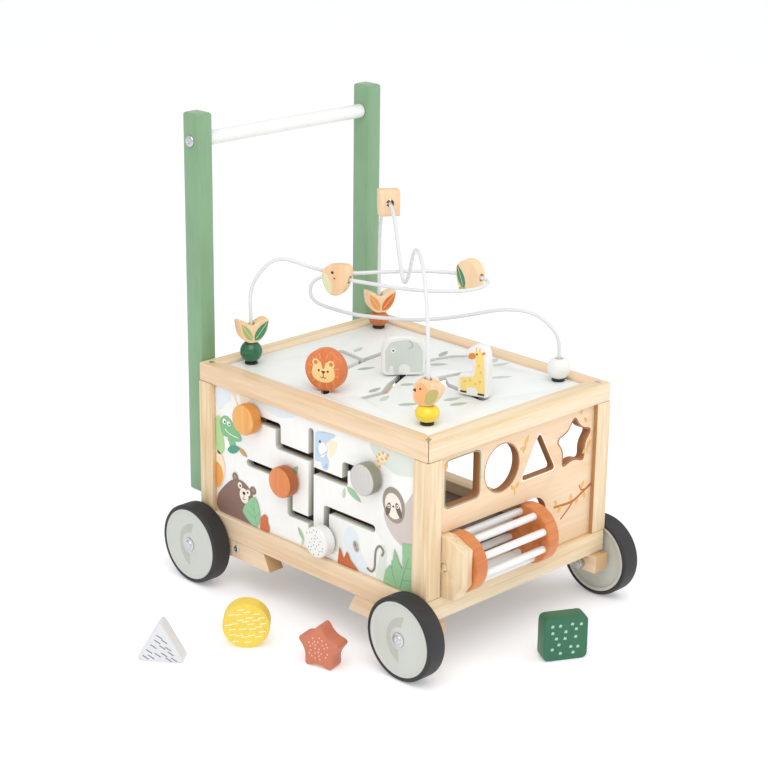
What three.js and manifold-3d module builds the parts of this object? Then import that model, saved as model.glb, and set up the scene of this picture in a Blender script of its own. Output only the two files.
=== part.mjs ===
// Wooden baby walker: a box on four wheels with a push handle, a bead maze on top,
// a sliding-knob maze on the left side, a shape sorter and a rattle drum at the front,
// and four loose sorter blocks standing on the floor beside it.
// Millimetres, +Z up, handle towards +Y. Points are given from the middle of the box on the floor,
// and the whole group is shifted at the end so that its origin is under the middle of everything.
import * as THREE from "three";
import { mergeVertices } from "three/addons/utils/BufferGeometryUtils.js";
import Module from "manifold-3d";

const wasm = await Module();
wasm.setup();

// Driving dimensions
const gap = 0.3; // between pieces that touch
const halfWide = 136;
const halfLong = 170;
const topZ = 245;
const rail = 20; // width of rails and posts
const topRailHigh = 20;
const bottomRailZ = [56, 80];
const panelSet = 5; // side panels lie this far behind the frame's faces
const panelThick = 9;
const topPanelZ = [236, 242];
const floorZ = [62, 67];
const slotWide = 8;
const handle = { x: 121.6, wide: 20, deep: 24.3, bottom: 93, top: 509, rodZ: 480, rodR: 7.75 };
const wheel = { radius: 43.7, wide: 22.4, outer: 159.5, front: -156, rear: 164, tyre: 4.2 };
const block = { high: 19.4, inner: 115, outer: 135, overhang: 21, slant: 10, bore: 4.6 };
const boltR = 4;
const wireR = 2;
const beadBore = 4.3;
const drum = { y: -172, z: 112, radius: 31, thick: 16, left: -98.5, right: 23.5, rodR: 3.9, ring: 24.5 };
const sorterThick = 19;
const holeGrowth = 1.035; // a sorter hole against its block

const colour = {
  pine: 0xf3ddb5, ply: 0xf5d9b0, green: 0x8fb88f, white: 0xf6f6f3, orange: 0xdf7a3b, amber: 0xf2a650,
  grey: 0xbfc1bf, leaf: 0x1f7a4d, yellow: 0xf6de3a, rust: 0xc9693b, bead: 0xf6cfa0, disc: 0xd9dbd5,
  tyre: 0x2f2f2f, steel: 0xc8c8c8, dark: 0x6b5a4c, moss: 0x3e7d62, clay: 0xcf6a4b, straw: 0xf3dc4f,
};

const walker = new THREE.Group();

function addNode(name, geometry, hex, roughness = 0.6, metalness = 0) {
  const material = new THREE.MeshStandardMaterial({ color: hex, roughness, metalness });
  const mesh = new THREE.Mesh(geometry, material);
  mesh.name = name;
  walker.add(mesh);
  return mesh;
}

// Boolean work on closed geometries
function toSolid(geometry) {
  const bare = geometry.clone();
  bare.deleteAttribute("normal");
  bare.deleteAttribute("uv");
  const merged = mergeVertices(bare, 1e-3);
  return new wasm.Manifold(new wasm.Mesh({
    numProp: 3,
    vertProperties: merged.attributes.position.array,
    triVerts: new Uint32Array(merged.index.array),
  }));
}

function toGeometry(solid) {
  const mesh = solid.getMesh();
  const geometry = new THREE.BufferGeometry();
  geometry.setAttribute("position", new THREE.BufferAttribute(mesh.vertProperties, 3));
  geometry.setIndex(new THREE.BufferAttribute(mesh.triVerts, 1));
  return geometry;
}

function join(...geometries) {
  return toGeometry(geometries.map(toSolid).reduce((whole, piece) => whole.add(piece)));
}

function cut(geometry, ...tools) {
  return toGeometry(tools.map(toSolid).reduce((whole, tool) => whole.subtract(tool), toSolid(geometry)));
}

// Plain solids, each placed by its lowest and highest corners or by its axis
function box(x0, x1, y0, y1, z0, z1) {
  return new THREE.BoxGeometry(x1 - x0, y1 - y0, z1 - z0)
    .translate((x0 + x1) / 2, (y0 + y1) / 2, (z0 + z1) / 2);
}

function rodX(x0, x1, y, z, radius, sides = 20) {
  return new THREE.CylinderGeometry(radius, radius, x1 - x0, sides)
    .rotateZ(-Math.PI / 2).translate((x0 + x1) / 2, y, z);
}

function rodZ(x, y, z0, z1, radius, sides = 16) {
  return new THREE.CylinderGeometry(radius, radius, z1 - z0, sides)
    .rotateX(Math.PI / 2).translate(x, y, (z0 + z1) / 2);
}

// A profile of [radius, distance] pairs turned about the X axis; side is +1 or -1
function turnedX(profile, side, y, z, sides) {
  const points = profile.map(([radius, along]) => new THREE.Vector2(radius, along));
  return new THREE.LatheGeometry(points, sides).rotateZ(-Math.PI / 2 * side).translate(0, y, z);
}

// A closed outline with every corner rounded by the same radius
function roundedOutline(corners, radius, into = new THREE.Shape()) {
  const count = corners.length;
  corners.forEach((corner, i) => {
    const here = new THREE.Vector2(...corner);
    const before = new THREE.Vector2(...corners[(i + count - 1) % count]).sub(here);
    const after = new THREE.Vector2(...corners[(i + 1) % count]).sub(here);
    const start = here.clone().addScaledVector(before, Math.min(radius / before.length(), 0.5));
    const end = here.clone().addScaledVector(after, Math.min(radius / after.length(), 0.5));
    if (i === 0) into.moveTo(start.x, start.y);
    else into.lineTo(start.x, start.y);
    into.quadraticCurveTo(here.x, here.y, end.x, end.y);
  });
  into.closePath();
  return into;
}

// An outline drawn as width and height, extruded to a board that stands up and faces -Y
function board(shape, thick, curveSegments = 6) {
  return new THREE.ExtrudeGeometry(shape, { depth: thick, bevelEnabled: false, curveSegments })
    .rotateX(Math.PI / 2).translate(0, thick / 2, 0);
}

// ---- Frame ----
// One mitred rail: a trapezoid in plan, long side outwards
function mitredRail(long, wide, z0, z1) {
  const outer = long - gap;
  const inner = long - rail - gap;
  const plan = new THREE.Shape();
  plan.moveTo(-outer, -wide);
  plan.lineTo(outer, -wide);
  plan.lineTo(inner, -wide + rail);
  plan.lineTo(-inner, -wide + rail);
  plan.closePath();
  return new THREE.ExtrudeGeometry(plan, { depth: z1 - z0, bevelEnabled: false }).translate(0, 0, z0);
}

function railFrame(level, z0, z1) {
  const sides = [
    ["front", halfWide, halfLong, 0],
    ["right", halfLong, halfWide, 90],
    ["rear", halfWide, halfLong, 180],
    ["left", halfLong, halfWide, 270],
  ];
  for (const [side, long, wide, turn] of sides) {
    const mesh = addNode(`${level}_rail_${side}`, mitredRail(long, wide, z0, z1), colour.pine);
    mesh.rotation.z = THREE.MathUtils.degToRad(turn);
  }
}

railFrame("top", topZ - topRailHigh, topZ);
railFrame("bottom", ...bottomRailZ);

const postZ = [bottomRailZ[1] + gap, topZ - topRailHigh - gap];
for (const [end, endSign] of [["front", -1], ["rear", 1]]) {
  for (const [side, sideSign] of [["left", -1], ["right", 1]]) {
    const post = addNode(`post_${end}_${side}`, box(-rail / 2, rail / 2, -rail / 2, rail / 2, ...postZ), colour.pine);
    post.position.set(sideSign * (halfWide - rail / 2), endSign * (halfLong - rail / 2), 0);
  }
}

const innerX = halfWide - rail - gap;
const innerY = halfLong - rail - gap;
// The floor board, with the thin board that stands on its left edge and backs the maze
addNode("floor_panel", join(
  box(-innerX, innerX, -innerY, innerY, ...floorZ),
  box(-innerX, -innerX + 2.2, -innerY + 10, innerY, floorZ[1] - 1, 230),
), colour.dark);

// ---- Slots ----
// A slot is cut along a route with round ends: one rounded bar for each straight stretch
function slotBar([x0, y0], [x1, y1], z0, z1) {
  const length = Math.hypot(x1 - x0, y1 - y0);
  const half = slotWide / 2;
  const bar = new THREE.Shape();
  bar.absarc(0, 0, half, Math.PI / 2, 3 * Math.PI / 2);
  bar.absarc(length, 0, half, -Math.PI / 2, Math.PI / 2);
  bar.closePath();
  return new THREE.ExtrudeGeometry(bar, { depth: z1 - z0, bevelEnabled: false, curveSegments: 5 })
    .rotateZ(Math.atan2(y1 - y0, x1 - x0)).translate(x0, y0, z0);
}

function slotTools(routes, z0, z1) {
  return routes.flatMap((route) => route.slice(1).map((point, i) => slotBar(route[i], point, z0, z1)));
}

// ---- Top panel, its curved slots and the three sliding figures ----
const topSlots = {
  lion: [[-100, 13], [-53, 43], [-30, 56], [3, 63], [39, 67]],
  lionBranch: [[3, 63], [8, 102]],
  elephant: [[-80, -25], [-54, -27], [-30, -13], [30, 13], [60, 14], [84, 7], [99, -6]],
  giraffe: [[47, -38], [24, -33], [12, -50], [4, -110]],
};
addNode("top_panel", cut(
  box(-innerX, innerX, -innerY, innerY, ...topPanelZ),
  ...slotTools(Object.values(topSlots), topPanelZ[0] - 1, topPanelZ[1] + 1),
), colour.white, 0.4);

const figureZ = topPanelZ[1] + 1.4; // underside of a figure
const figure = {
  lion: { at: [-94, 16.8], turn: -72, thick: 13 },
  elephant: { at: [0, 0], turn: -38.5, thick: 13 },
  giraffe: { at: [5.6, -98], turn: -74, thick: 12 },
};

function lionShape() {
  const shape = new THREE.Shape();
  shape.absarc(0, 22, 22, 0, 2 * Math.PI);
  return shape;
}

function elephantShape() {
  return roundedOutline([[-23, 0], [-23, 30], [-17, 41], [3, 43], [19, 38], [23, 28], [23, 0]], 8);
}

function giraffeShape() {
  const corners = [[-17, 0], [-17, 21], [-1, 24], [-1, 38], [-9, 41], [-9, 48], [2, 55], [13, 54], [16, 44], [17, 0]];
  return roundedOutline(corners, 4);
}

// The figure, its peg through the slot and the flange that keeps it from lifting out
function slidingFigure(name, shape, { at, turn, thick }, hex) {
  const body = board(shape, thick, 5).translate(0, 0, figureZ);
  const peg = rodZ(0, 0, topPanelZ[0] - 3, figureZ + 4, 3.3);
  const flange = rodZ(0, 0, topPanelZ[0] - 4.5, topPanelZ[0] - 1.5, 8);
  const mesh = addNode(name, join(body, peg, flange), hex);
  mesh.rotation.z = THREE.MathUtils.degToRad(turn);
  mesh.position.set(...at, 0);
}

slidingFigure("lion_slider", lionShape(), figure.lion, colour.orange);
slidingFigure("elephant_slider", elephantShape(), figure.elephant, colour.white);
slidingFigure("giraffe_slider", giraffeShape(), figure.giraffe, colour.white);

// ---- Maze panel on the left side; its routes are [y, z] ----
const trunk = 0;
const mazeRoutes = [
  [[92, 203], [50, 203], [50, 182], [trunk, 182]],
  [[trunk, 211], [trunk, 98]],
  [[96, 150], [32, 150], [32, 113], [trunk, 113]],
  [[trunk, 170], [-50, 170], [-50, 188], [-92, 188]],
  [[trunk, 98], [-23, 98], [-23, 133], [-90, 133]],
];
const panelZ = [bottomRailZ[1] + gap, topZ - topRailHigh - gap];
const mazeOuterX = -(halfWide - panelSet);

// Lays a plate drawn in [y, z] and extruded along its own z against the left side
function ontoLeftSide(geometry) {
  return geometry.rotateY(Math.PI / 2).rotateX(Math.PI / 2);
}

const mazePlate = box(-innerY, innerY, ...panelZ, mazeOuterX, mazeOuterX + panelThick);
addNode("maze_panel", ontoLeftSide(cut(
  mazePlate,
  ...slotTools(mazeRoutes, mazeOuterX - 1, mazeOuterX + panelThick + 1),
)), colour.white, 0.45);

const knob = { radius: 16.5, thick: 14, stand: 2, shank: 3.3, flange: 9.5, chamfer: 1.6 };
const knobs = [
  ["knob_amber", 89, 203, colour.amber],
  ["knob_orange", 32, 150, colour.orange],
  ["knob_grey", -89, 188, colour.grey],
  ["knob_dotted", -23, 101, colour.white],
];
for (const [name, y, z, hex] of knobs) {
  const inside = mazeOuterX + panelThick;
  const back = mazeOuterX - knob.stand;
  const face = back - knob.thick;
  const profile = [
    [0, face], [knob.radius - knob.chamfer, face], [knob.radius, face + knob.chamfer],
    [knob.radius, back - knob.chamfer], [knob.radius - knob.chamfer, back], [knob.shank, back],
    [knob.shank, inside + 1.2], [knob.flange, inside + 1.2], [knob.flange, inside + 4.2], [0, inside + 4.2],
  ];
  addNode(name, turnedX(profile, 1, y, z, 22), hex, 0.5);
}

// ---- Shape panel at the front; outlines are [x, z] ----
function squareOutline(grow, into) {
  const half = 23.5 * grow;
  return roundedOutline([[-half, -half], [half, -half], [half, half], [-half, half]], 7, into);
}

function discOutline(grow, into = new THREE.Shape()) {
  into.absarc(0, 0, 24.2 * grow, 0, 2 * Math.PI);
  return into;
}

function triangleOutline(grow, into) {
  const [wide, low, high] = [25.5, -17, 28].map((length) => length * grow);
  return roundedOutline([[-wide, low], [wide, low], [0, high]], 7, into);
}

function starOutline(grow, into) {
  const corners = Array.from({ length: 10 }, (_, i) => {
    const radius = (i % 2 ? 16 : 27.5) * grow;
    const angle = Math.PI / 2 + i * Math.PI / 5;
    return [radius * Math.cos(angle), radius * Math.sin(angle)];
  });
  return roundedOutline(corners, 7.5, into);
}

const sorter = { // steps: how finely the outline's curves are cut
  square: { outline: squareOutline, hole: [-82, 194], steps: 6, hex: colour.moss },
  disc: { outline: discOutline, hole: [-25, 191], steps: 20, hex: colour.straw },
  triangle: { outline: triangleOutline, hole: [30.5, 186], steps: 6, hex: colour.white },
  star: { outline: starOutline, hole: [85, 189.5], steps: 5, hex: colour.clay },
};
const drumWindow = { right: 45, top: 144.5, round: 20 };

function shapePanel() {
  const [low, high] = panelZ;
  const plate = new THREE.Shape();
  plate.moveTo(drumWindow.right, low);
  plate.lineTo(innerX, low);
  plate.lineTo(innerX, high);
  plate.lineTo(-innerX, high);
  plate.lineTo(-innerX, drumWindow.top);
  plate.lineTo(drumWindow.right - drumWindow.round, drumWindow.top);
  plate.absarc(drumWindow.right - drumWindow.round, drumWindow.top - drumWindow.round,
    drumWindow.round, Math.PI / 2, 0, true);
  plate.closePath();
  const solid = board(plate, panelThick).translate(0, -(halfLong - panelSet) + panelThick / 2, 0);
  const holes = Object.values(sorter).map(({ outline, hole: [x, z], steps }) =>
    board(outline(holeGrowth), panelThick + 2, steps)
      .translate(x, -(halfLong - panelSet) + panelThick / 2, z));
  return cut(solid, ...holes);
}

addNode("shape_panel", shapePanel(), colour.ply);

// Loose blocks, each stood on the floor: [x, y, turn]
const blockPlace = {
  triangle: [-296.5, 40, -52.8],
  disc: [-214, 6, -45],
  star: [-188, -80, -76],
  square: [-0.5, -232, -28.5],
};
for (const [name, [x, y, turn]] of Object.entries(blockPlace)) {
  const geometry = board(sorter[name].outline(1), sorterThick, sorter[name].steps);
  geometry.computeBoundingBox();
  const mesh = addNode(`sorter_${name}`, geometry, sorter[name].hex, 0.5);
  mesh.rotation.z = THREE.MathUtils.degToRad(turn);
  mesh.position.set(x, y, -geometry.boundingBox.min.z);
}

// ---- Rattle drum and the cradle that carries its stub axles ----
function drumCage() {
  const { y, z, radius, thick, left, right } = drum;
  const pieces = [
    rodX(left, left + thick, y, z, radius, 30),
    rodX(right - thick, right, y, z, radius, 30),
    rodX(left - 15, left + 1, y, z, boltR),
    rodX(right - 1, right + 14, y, z, boltR),
  ];
  const rods = 8;
  for (let i = 0; i < rods; i += 1) {
    const angle = (i + 0.5) * 2 * Math.PI / rods;
    const rodY = y + drum.ring * Math.cos(angle);
    const rodZ0 = z + drum.ring * Math.sin(angle);
    pieces.push(rodX(left + thick - 1, right - thick + 1, rodY, rodZ0, drum.rodR, 12));
  }
  return join(...pieces);
}

// The upright beside the drum's outer disc, its two front corners clipped
function clippedUpright(x0, x1, back, low, high) {
  const side = new THREE.Shape();
  side.moveTo(back, low);
  side.lineTo(back, high);
  side.lineTo(-175, high);
  side.lineTo(-197, high - 9.5);
  side.lineTo(-197, low + 17.5);
  side.lineTo(-185, low);
  side.closePath();
  return new THREE.ExtrudeGeometry(side, { depth: x1 - x0, bevelEnabled: false })
    .rotateX(Math.PI / 2).rotateZ(Math.PI / 2).translate(x0, 0, 0);
}

function drumCradle() {
  const low = bottomRailZ[1] + gap;
  const back = -140;
  const leftEnd = drum.left - 1;
  const rightEnd = drum.right + 1;
  const leftUpright = clippedUpright(-114, leftEnd, back, low, drumWindow.top - 0.5);
  const rightUpright = box(rightEnd, rightEnd + 13.5, -181, back, low, drum.z + 12);
  const backBar = box(-114, rightEnd + 13.5, -halfLong + rail + gap, back, low, low + 7);
  const bore = rodX(-120, 50, drum.y, drum.z, block.bore);
  return cut(join(leftUpright, rightUpright, backBar), bore);
}

addNode("drum_cage", drumCage(), colour.orange, 0.5);
addNode("drum_cradle", drumCradle(), colour.pine);

// ---- Wheels, their blocks and bolts ----
function wheelBlock(axleY) {
  const end = Math.sign(axleY);
  const top = bottomRailZ[0] - gap;
  const bottom = top - block.high;
  const innerEnd = end * 70;
  const side = new THREE.Shape();
  side.moveTo(axleY + end * block.overhang, bottom);
  side.lineTo(axleY + end * block.overhang, top);
  side.lineTo(innerEnd, top);
  side.lineTo(innerEnd - end * block.slant, bottom);
  side.closePath();
  const bore = new THREE.Path();
  bore.absarc(axleY, wheel.radius, block.bore, 0, 2 * Math.PI);
  side.holes.push(bore);
  return new THREE.ExtrudeGeometry(side, { depth: block.outer - block.inner, bevelEnabled: false, curveSegments: 10 })
    .rotateX(Math.PI / 2).rotateZ(Math.PI / 2);
}

function tyreProfile() {
  const { radius, wide, outer, tyre } = wheel;
  const inner = outer - wide;
  const round = 2;
  return [
    [radius - tyre, inner], [radius - round, inner], [radius, inner + round], [radius, outer - round],
    [radius - round, outer], [radius - tyre, outer], [radius - tyre, inner],
  ];
}

function wheelDiscProfile() {
  const rim = wheel.radius - wheel.tyre - gap;
  const face = wheel.outer - 1;
  const back = wheel.outer - wheel.wide + 0.5;
  const bore = block.bore;
  return [
    [bore, back], [rim, back], [rim, face + 0.6], [rim - 3, face + 0.6], [rim - 5, face - 1.2],
    [12, face - 1.2], [10, face], [bore, face], [bore, back],
  ];
}

function boltProfile() {
  const headBack = wheel.outer - 0.7;
  return [
    [0, block.inner - 8], [boltR, block.inner - 8], [boltR, block.inner - 6], [7, block.inner - 6],
    [7, block.inner - gap], [boltR, block.inner - gap], [boltR, headBack], [7.5, headBack], [7.5, headBack + 1],
    [5, headBack + 3.2], [0, headBack + 3.2],
  ];
}

for (const [end, axleY] of [["front", wheel.front], ["rear", wheel.rear]]) {
  for (const [side, sign] of [["left", -1], ["right", 1]]) {
    const z = wheel.radius;
    const corner = `${end}_${side}`;
    const blockMesh = addNode(`wheel_block_${corner}`, wheelBlock(axleY), colour.pine);
    blockMesh.position.x = sign > 0 ? block.inner : -block.outer;
    const turn = (profile, sides) => turnedX(profile, sign, axleY, z, sides);
    addNode(`tyre_${corner}`, turn(tyreProfile(), 36), colour.tyre, 0.8);
    addNode(`wheel_disc_${corner}`, turn(wheelDiscProfile(), 30), colour.disc, 0.5);
    addNode(`wheel_bolt_${corner}`, turn(boltProfile(), 12), colour.steel, 0.3, 1);
  }
}

// ---- Push handle ----
function handlePost() {
  const edge = 2;
  const halfX = handle.wide / 2 - edge;
  const halfY = handle.deep / 2 - edge;
  const section = roundedOutline([[-halfX, -halfY], [halfX, -halfY], [halfX, halfY], [-halfX, halfY]], 1);
  const length = handle.top - handle.bottom - 2 * edge;
  return new THREE.ExtrudeGeometry(section, {
    depth: length, bevelThickness: edge, bevelSize: edge, bevelSegments: 1, curveSegments: 2,
  }).translate(0, 0, handle.bottom + edge);
}

const handleY = halfLong + gap + handle.deep / 2;
for (const [side, sign] of [["left", -1], ["right", 1]]) {
  const post = addNode(`handle_post_${side}`, handlePost(), colour.green, 0.5);
  post.position.set(sign * handle.x, handleY, 0);
}
const rodEnd = handle.x - handle.wide / 2 - gap;
addNode("handle_rod", rodX(-rodEnd, rodEnd, handleY, handle.rodZ, handle.rodR, 24), colour.white, 0.5);

// ---- Bead maze: two coated wires from corner to corner of the top ----
const wireFoot = topPanelZ[1] + gap;
const foot = { rearLeft: [-92, 136], rearRight: [98, 136], frontLeft: [-90, -123], frontRight: [106, -123] };

// A frame for each wire: u runs from its first foot to its last, w is level and square to u
function wirePlane([x0, y0], [x1, y1]) {
  const along = new THREE.Vector2(x1 - x0, y1 - y0);
  const length = along.length();
  along.normalize();
  const point = (u, w, z) => new THREE.Vector3(x0 + along.x * u - along.y * w, y0 + along.y * u + along.x * w, z);
  return { point, length, turn: THREE.MathUtils.radToDeg(Math.atan2(along.y, along.x)) };
}

function wire(points, steps) {
  const ring = Array.from({ length: 6 }, (_, i) => {
    const angle = i * Math.PI / 3;
    return new THREE.Vector2(wireR * Math.cos(angle), wireR * Math.sin(angle));
  });
  const path = new THREE.CatmullRomCurve3(points, false, "centripetal");
  return new THREE.ExtrudeGeometry(new THREE.Shape(ring), { steps, extrudePath: path, curveSegments: 1 });
}

function arcPoints(centreU, centreV, radius, fromDeg, toDeg, count) {
  return Array.from({ length: count }, (_, i) => {
    const angle = THREE.MathUtils.degToRad(fromDeg + (toDeg - fromDeg) * i / (count - 1));
    return [centreU + radius * Math.sin(angle), centreV + radius * Math.cos(angle)];
  });
}

// The loop wire: up, over, once round a long level loop, back under itself and down
const loopPlane = wirePlane(foot.rearLeft, foot.frontRight);
const loopArc = { u: 193, w: -51, radius: 80, z: 345 }; // the loop's far side is part of this circle
const loopRoute = [
  [0, 0, wireFoot], [0, 0, 270], [0, 0, 300], [0, 0, 322], [9, 0, 341], [22, 0, 355], [36, 0, 359],
  [56, 1, 353], [75, 5, 347], [104, 13, 343], [133, 21, 343.5],
  ...arcPoints(loopArc.u, loopArc.w, loopArc.radius, -16, 38, 6).map(([u, w]) => [u, w, loopArc.z]),
  [251, 2, 345], [249, -9, 343.5], [236, -19, 341], [211, -26, 340], [171, -26.5, 340], [139.5, -20, 341.3],
  [119.5, -14.5, 342], [99.4, -9, 342.6], [78, -3.1, 343.3], [66, 0, 336], [62.5, 1, 324], [67, 4, 313],
  [84, 9, 305], [109, 11, 298.7], [138, 12, 296.3], [168, 10, 296.3], [196, 8, 299.4], [231, 5, 306.7],
  [256, 3, 313.3], [277, 0, 316.3], [299, 0, 313], [315, 0, 301.6], [324, 0, 290],
  [loopPlane.length, 0, 276], [loopPlane.length, 0, 262], [loopPlane.length, 0, wireFoot],
];
addNode("loop_wire", wire(loopRoute.map((place) => loopPlane.point(...place)), 80), colour.white, 0.4);

// The arch wire: a high arch, a dip over the loop, a second hump and down
const archPlane = wirePlane(foot.rearRight, foot.frontLeft);
const archArc = { u: 67, radius: 70, z: 332 };
const archRoute = [
  [0, wireFoot], [0, 280], [0, 320], [2, 350],
  ...arcPoints(archArc.u, archArc.z, archArc.radius, -60, 52, 8),
  [139, 360], [158, 345.5], [170, 343], [183, 348], [194, 355], [205, 366], [218, 383], [234, 395], [256, 398],
  [278, 392], [297, 374], [310, 349], [318, 322],
  [archPlane.length, 300], [archPlane.length, 275], [archPlane.length, wireFoot],
];
addNode("arch_wire", wire(archRoute.map(([u, z]) => archPlane.point(u, 0, z)), 60), colour.white, 0.4);

// ---- Beads ----
// A turned ball with flats at both ends and a bore up the middle
function ballBead(radius, high) {
  const half = high / 2;
  const steps = 6;
  const widest = Math.acos(Math.min(1, beadBore * 1.5 / radius));
  const profile = [[beadBore, -half]];
  for (let i = 0; i <= steps; i += 1) {
    const angle = widest * (2 * i / steps - 1);
    profile.push([radius * Math.cos(angle), half * Math.sin(angle) / Math.sin(widest)]);
  }
  profile.push([beadBore, half], [beadBore, -half]);
  return new THREE.LatheGeometry(profile.map(([r, z]) => new THREE.Vector2(r, z)), 18).rotateX(Math.PI / 2);
}

function addBall(name, [x, y], low, radius, high, hex) {
  addNode(name, ballBead(radius, high), hex, 0.35).position.set(x, y, low + high / 2);
}

// A board bead with its bore upright
function addUprightBead(name, [x, y], low, shape, thick, turn) {
  const geometry = cut(board(shape, thick, 5), rodZ(0, 0, -5, 60, beadBore, 12));
  const mesh = addNode(name, geometry, colour.bead);
  mesh.rotation.z = THREE.MathUtils.degToRad(turn);
  mesh.position.set(x, y, low);
}

// A board bead threaded along its width, centred on the wire
function addThreadedBead(name, centre, shape, thick, turn, tilt = 0) {
  const geometry = cut(board(shape, thick, 5), rodX(-40, 40, 0, 0, beadBore, 12));
  const mesh = addNode(name, geometry, colour.bead);
  mesh.rotation.order = "ZYX";
  mesh.rotation.z = THREE.MathUtils.degToRad(turn);
  mesh.rotation.y = THREE.MathUtils.degToRad(tilt);
  mesh.position.copy(centre);
}

function leafPairShape() {
  return roundedOutline([[-6, 0], [-14, 8], [-17, 27], [-6, 22], [0, 18], [8, 23], [19, 26], [16, 10], [7, 0]], 5);
}

function birdShape() {
  return roundedOutline([[-10, 0], [-14, 10], [-12, 23], [-3, 28], [6, 25], [17, 20], [13, 8], [6, 0]], 6);
}

function hangingBirdShape() {
  return roundedOutline([[-16, -2], [-14, 13], [4, 16], [15, 15], [14, -2], [7, -17], [-8, -18]], 8);
}

function pebbleLeafShape() {
  return roundedOutline([[-15, 8], [-6, 18], [8, 17], [15, 6], [14, -10], [4, -17], [-10, -15]], 8);
}

function blockBeadShape() {
  return roundedOutline([[-11, 14], [11, 14], [12, -2], [9, -15], [-9, -15], [-12, -2]], 4);
}

const footTop = topPanelZ[1] + 3.4; // beads rest on a low black foot round each wire end
const beadRest = 0.5;
addBall("green_ball", foot.rearLeft, footTop, 12, 20.5, colour.leaf);
addUprightBead("green_leaf_bead", foot.rearLeft, footTop + 20.5 + beadRest, leafPairShape(), 14, -17);
addBall("rust_ball", foot.rearRight, footTop, 11.5, 15, colour.rust);
addUprightBead("orange_leaf_bead", foot.rearRight, footTop + 15 + beadRest, leafPairShape(), 14, -25);
addBall("yellow_ball", foot.frontLeft, footTop, 12.5, 16.5, colour.yellow);
addUprightBead("small_bird_bead", foot.frontLeft, footTop + 16.5 + beadRest, birdShape(), 14, -68);
addBall("white_ball", foot.frontRight, footTop, 12.5, 21, colour.white);

const loopBirdU = 94;
const straightSlope = (loopBirdU - 99.4) / (78 - 99.4);
const loopBirdAt = loopPlane.point(loopBirdU, -9 + 5.9 * straightSlope, 342.6 + 0.7 * straightSlope);
addThreadedBead("loop_bird_bead", loopBirdAt, hangingBirdShape(), 14, loopPlane.turn - 15.4);

const loopLeafTurn = 26.7; // degrees round the loop's far arc
const [[leafU, leafW]] = arcPoints(loopArc.u, loopArc.w, loopArc.radius, loopLeafTurn, loopLeafTurn + 1, 2);
addThreadedBead("loop_leaf_bead", loopPlane.point(leafU, leafW, loopArc.z), pebbleLeafShape(), 14,
  loopPlane.turn - loopLeafTurn);

const archBeadTurn = -5;
const [[archU, archZ]] = arcPoints(archArc.u, archArc.z, archArc.radius, archBeadTurn, archBeadTurn + 1, 2);
addThreadedBead("arch_bead", archPlane.point(archU, 0, archZ), blockBeadShape(), 22, archPlane.turn, archBeadTurn);

// ---- Origin under the middle of everything, on the floor ----
const bounds = new THREE.Box3().setFromObject(walker, true);
walker.position.set(-(bounds.min.x + bounds.max.x) / 2, -(bounds.min.y + bounds.max.y) / 2, 0);

export default walker;
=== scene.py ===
# Wooden baby walker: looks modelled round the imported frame.
# Lengths in the dictionaries are millimetres from the middle of the box on the floor.
import math
import random

import bpy
from mathutils import Matrix, Vector


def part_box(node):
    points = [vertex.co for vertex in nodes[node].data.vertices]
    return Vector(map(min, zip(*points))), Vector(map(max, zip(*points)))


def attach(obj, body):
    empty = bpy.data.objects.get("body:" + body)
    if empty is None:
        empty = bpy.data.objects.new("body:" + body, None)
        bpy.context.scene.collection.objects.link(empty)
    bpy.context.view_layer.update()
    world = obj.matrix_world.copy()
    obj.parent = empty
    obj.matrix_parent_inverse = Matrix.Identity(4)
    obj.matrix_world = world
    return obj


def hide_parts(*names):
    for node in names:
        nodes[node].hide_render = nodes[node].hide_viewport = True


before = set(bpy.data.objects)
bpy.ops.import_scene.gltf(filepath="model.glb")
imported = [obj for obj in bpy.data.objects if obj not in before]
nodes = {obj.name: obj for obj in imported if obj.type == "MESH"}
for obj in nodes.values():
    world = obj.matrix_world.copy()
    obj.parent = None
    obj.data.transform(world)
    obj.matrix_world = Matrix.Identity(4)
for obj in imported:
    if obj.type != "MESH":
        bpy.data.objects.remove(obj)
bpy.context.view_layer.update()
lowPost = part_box("post_front_left")
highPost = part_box("post_rear_right")
middle = Vector(((lowPost[0].x + highPost[1].x) / 2, (lowPost[0].y + highPost[1].y) / 2, 0))
print("frame loaded:", len(nodes), "nodes")


def mm(x, y, z):
    return middle + Vector((x, y, z)) / 1000


def linear(hexColour):
    channels = [int(hexColour[i:i + 2], 16) / 255 for i in (0, 2, 4)]
    return tuple(c / 12.92 if c <= 0.04045 else ((c + 0.055) / 1.055) ** 2.4 for c in channels) + (1,)


def addNode(tree, kind, links=None, **settings):
    node = tree.nodes.new(kind)
    for name, value in settings.items():
        setattr(node, name, value)
    for socket, value in (links or {}).items():
        if isinstance(value, bpy.types.NodeSocket):
            tree.links.new(value, node.inputs[socket])
        else:
            node.inputs[socket].default_value = value
    return node


def startFinish(name, roughness, **sockets):
    material = bpy.data.materials.new(name)
    material.use_nodes = True
    tree = material.node_tree
    shader = tree.nodes["Principled BSDF"]
    shader.inputs["Roughness"].default_value = roughness
    for socket, value in sockets.items():
        shader.inputs[socket.replace("_", " ")].default_value = value
    place = addNode(tree, "ShaderNodeTexCoord").outputs["Object"]
    return material, tree, shader, place


# ---- finishes ----
def shadeWalls(tree, colour, axis, wallHex):
    # another colour on the faces that turn away from the axis: the cut edges of the plates, and painted shade on the
    # knob rims and the wheel block ends
    normal = addNode(tree, "ShaderNodeSeparateXYZ", {0: addNode(tree, "ShaderNodeTexCoord").outputs["Normal"]}).outputs[axis]
    facing = addNode(tree, "ShaderNodeMath", {0: normal}, operation="ABSOLUTE").outputs[0]
    edge = addNode(tree, "ShaderNodeMapRange", {"Value": facing, "From Min": 0.35, "From Max": 0.65, "To Min": 1, "To Max": 0}).outputs[0]
    return addNode(tree, "ShaderNodeMix", {0: edge, 6: colour, 7: linear(wallHex)}, data_type="RGBA").outputs[2]


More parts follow.
